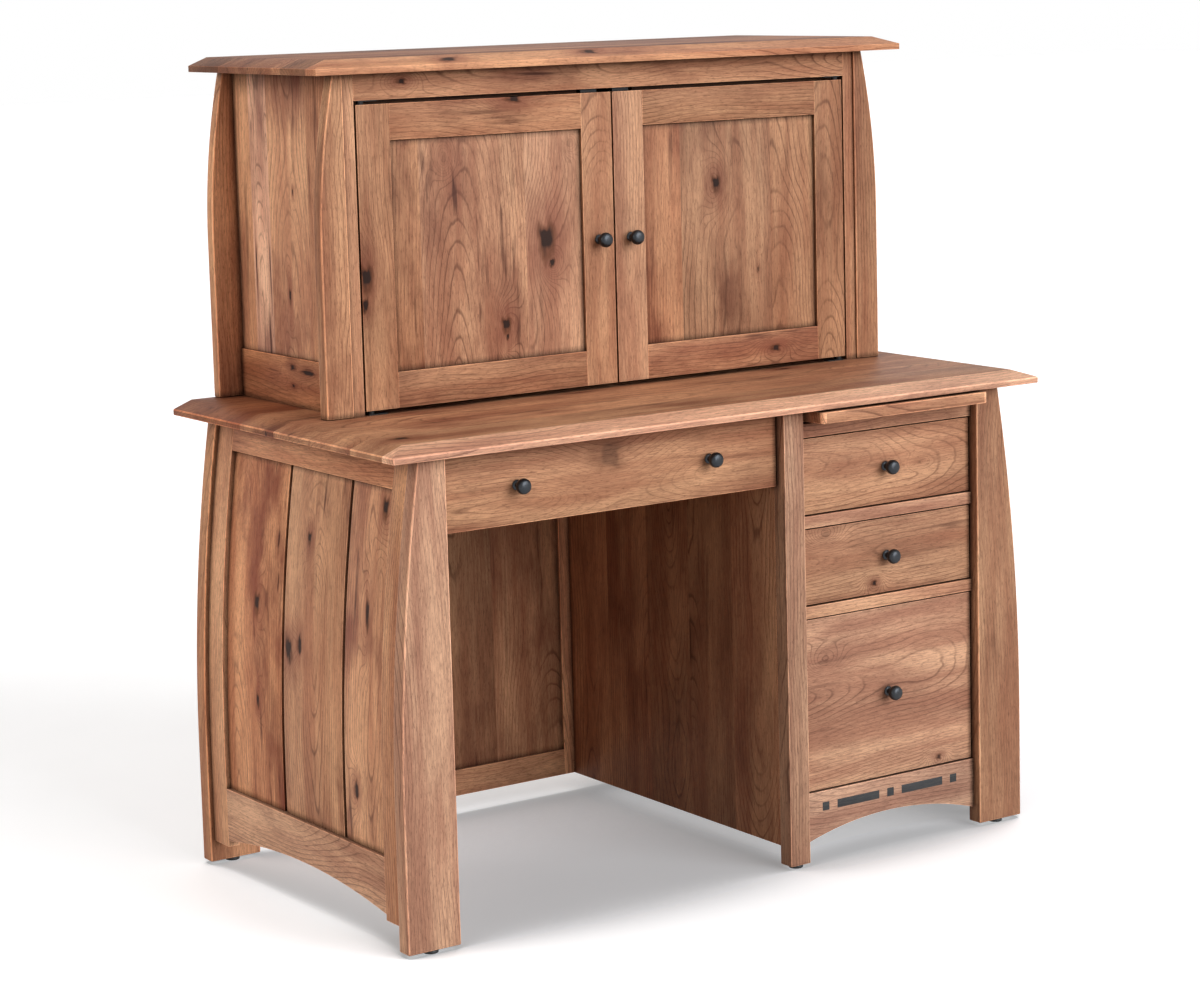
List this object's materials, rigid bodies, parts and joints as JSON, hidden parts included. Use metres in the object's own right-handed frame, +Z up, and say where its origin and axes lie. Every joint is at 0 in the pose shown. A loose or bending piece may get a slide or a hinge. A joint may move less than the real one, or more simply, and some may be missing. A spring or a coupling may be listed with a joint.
{
  "type": "desk with hutch",
  "caption": "Rustic wooden desk with bowed legs, a pencil drawer over the kneehole, a drawer pedestal with a pull-out writing board, and a hutch with panelled doors on its back.",
  "frame": {"origin": "on the floor, under the middle of the outline seen from above", "axes": "+X to the right as seen from the front, +Y to the back, +Z up"},
  "size_m": [1.266, 0.722, 1.349],
  "materials": {
    "hickory": "warm brown stain with satin lacquer on knotty hickory",
    "hickory_panel": "warm brown stain with satin lacquer on knotty hickory panels",
    "maple": "clear lacquer on pale maple",
    "black_inlay": "black hardwood under satin lacquer",
    "black_knob": "oil-rubbed black, satin",
    "black_plastic": "matte black",
    "black_steel": "black oxide on steel, satin",
    "zinc_steel": "bright zinc plate"
  },
  "bodies": {
    "desk": {"desk_top": "hickory", "front_left_leg": "hickory", "back_left_leg": "hickory", "front_right_leg": "hickory", "back_right_leg": "hickory", "center_post": "hickory", "left_side_frame": "hickory", "left_side_boards": "hickory_panel", "right_side_frame": "hickory", "right_side_boards": "hickory_panel", "back_frame": "hickory", "back_panels": "hickory_panel", "pedestal_wall": "hickory_panel", "pedestal_liner": "maple", "drawer_rails": "hickory", "arched_rail": "hickory", "inlays": "black_inlay", "glides": "black_plastic", "slide_strips": "maple", "cabinet_slides": "zinc_steel", "hutch_top": "hickory", "hutch_posts": "hickory", "hutch_side_frames": "hickory", "hutch_side_panels": "hickory_panel", "hutch_face_frame": "hickory", "hutch_back": "hickory", "hutch_shelf": "hickory", "shelf_pins": "black_steel", "pivot_plates": "black_steel", "door_catches": "black_plastic"},
    "left_door": {"left_door_frame": "hickory", "left_door_panel": "hickory_panel", "left_door_knob": "black_knob", "left_door_pivots": "black_steel"},
    "right_door": {"right_door_frame": "hickory", "right_door_panel": "hickory_panel", "right_door_knob": "black_knob", "right_door_pivots": "black_steel"},
    "pencil_drawer": {"pencil_drawer_front": "hickory", "pencil_drawer_box": "maple", "pencil_drawer_knobs": "black_knob", "pencil_drawer_runners": "zinc_steel"},
    "pencil_slides": {"pencil_middle_slides": "zinc_steel"},
    "upper_drawer": {"upper_drawer_front": "hickory", "upper_drawer_box": "maple", "upper_drawer_knob": "black_knob", "upper_drawer_runners": "zinc_steel"},
    "upper_slides": {"upper_middle_slides": "zinc_steel"},
    "lower_drawer": {"lower_drawer_front": "hickory", "lower_drawer_box": "maple", "lower_drawer_knob": "black_knob", "lower_drawer_runners": "zinc_steel"},
    "lower_slides": {"lower_middle_slides": "zinc_steel"},
    "file_drawer": {"file_drawer_front": "hickory", "file_drawer_box": "maple", "file_drawer_knob": "black_knob", "file_drawer_runners": "zinc_steel"},
    "file_slides": {"file_middle_slides": "zinc_steel"},
    "writing_board": {"writing_board": "hickory", "writing_board_lip": "hickory"}
  },
  "joints": [
    {"name": "left_door_hinge", "type": "hinge", "parent": "desk", "child": "left_door", "pos_m": [-0.4725, -0.0135, 1.035], "axis": [0, 0, -1], "range_deg": [0, 110]},
    {"name": "right_door_hinge", "type": "hinge", "parent": "desk", "child": "right_door", "pos_m": [0.4725, -0.0135, 1.035], "axis": [0, 0, 1], "range_deg": [0, 110]},
    {"name": "pencil_drawer_slide", "type": "slide", "parent": "desk", "child": "pencil_drawer", "axis": [0, -1, 0], "range_m": [0, 0.5]},
    {"name": "pencil_middle_slide", "type": "slide", "parent": "desk", "child": "pencil_slides", "axis": [0, -1, 0], "range_m": [0, 0.25]},
    {"name": "upper_drawer_slide", "type": "slide", "parent": "desk", "child": "upper_drawer", "axis": [0, -1, 0], "range_m": [0, 0.5]},
    {"name": "upper_middle_slide", "type": "slide", "parent": "desk", "child": "upper_slides", "axis": [0, -1, 0], "range_m": [0, 0.25]},
    {"name": "lower_drawer_slide", "type": "slide", "parent": "desk", "child": "lower_drawer", "axis": [0, -1, 0], "range_m": [0, 0.5]},
    {"name": "lower_middle_slide", "type": "slide", "parent": "desk", "child": "lower_slides", "axis": [0, -1, 0], "range_m": [0, 0.25]},
    {"name": "file_drawer_slide", "type": "slide", "parent": "desk", "child": "file_drawer", "axis": [0, -1, 0], "range_m": [0, 0.5]},
    {"name": "file_middle_slide", "type": "slide", "parent": "desk", "child": "file_slides", "axis": [0, -1, 0], "range_m": [0, 0.25]},
    {"name": "writing_board_slide", "type": "slide", "parent": "desk", "child": "writing_board", "axis": [0, -1, 0], "range_m": [0, 0.38]}
  ],
  "couplings": [
    {"joint": "pencil_middle_slide", "follows": "pencil_drawer_slide", "ratio": 0.5},
    {"joint": "upper_middle_slide", "follows": "upper_drawer_slide", "ratio": 0.5},
    {"joint": "lower_middle_slide", "follows": "lower_drawer_slide", "ratio": 0.5},
    {"joint": "file_middle_slide", "follows": "file_drawer_slide", "ratio": 0.5}
  ]
}
